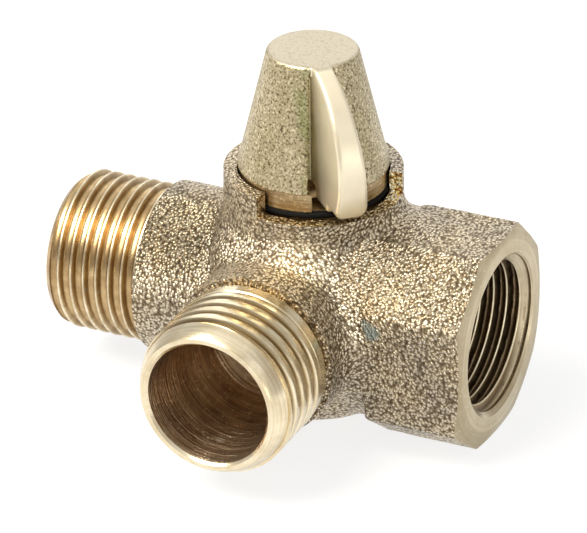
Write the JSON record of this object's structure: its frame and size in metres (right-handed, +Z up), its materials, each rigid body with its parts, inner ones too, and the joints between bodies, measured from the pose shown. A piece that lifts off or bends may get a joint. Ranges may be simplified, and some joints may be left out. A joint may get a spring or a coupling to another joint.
{
  "type": "bypass valve",
  "caption": "Three-way bypass valve: cast brass body with two male pipe threads and a female octagonal port, and an L-port plug turned by a cone handle with a pointer.",
  "frame": {"origin": "on the axis of the female port, where the wall of its thread begins behind the countersink", "axes": "+X out of the female port, -X out of the left male port, -Y out of the front male port, +Z up along the stem to the handle"},
  "size_m": [0.06, 0.0454, 0.049],
  "materials": {
    "cast_brass": "sand-cast skin, threads and faces turned",
    "plug_brass": "turned",
    "handle_brass": "fine cast, faces brushed",
    "seal_rubber": "matt black",
    "seat_plastic": "white, matt",
    "steel": "plain"
  },
  "bodies": {
    "body": {"valve_body": "cast_brass", "retaining_wire": "steel", "thrust_washer": "seat_plastic", "left_seat": "seat_plastic", "front_seat": "seat_plastic", "right_seat": "seat_plastic", "left_backing_ring": "seal_rubber", "front_backing_ring": "seal_rubber", "right_backing_ring": "seal_rubber"},
    "plug": {"rotor_plug": "plug_brass", "handle": "handle_brass", "grub_screw": "steel", "upper_seal": "seal_rubber", "lower_seal": "seal_rubber", "dust_ring": "seal_rubber"}
  },
  "joints": [
    {"name": "handle_turn", "type": "hinge", "parent": "body", "child": "plug", "pos_m": [-0.02462, 0, 0], "axis": [0, 0, 1], "range_deg": [-45, 45]}
  ]
}
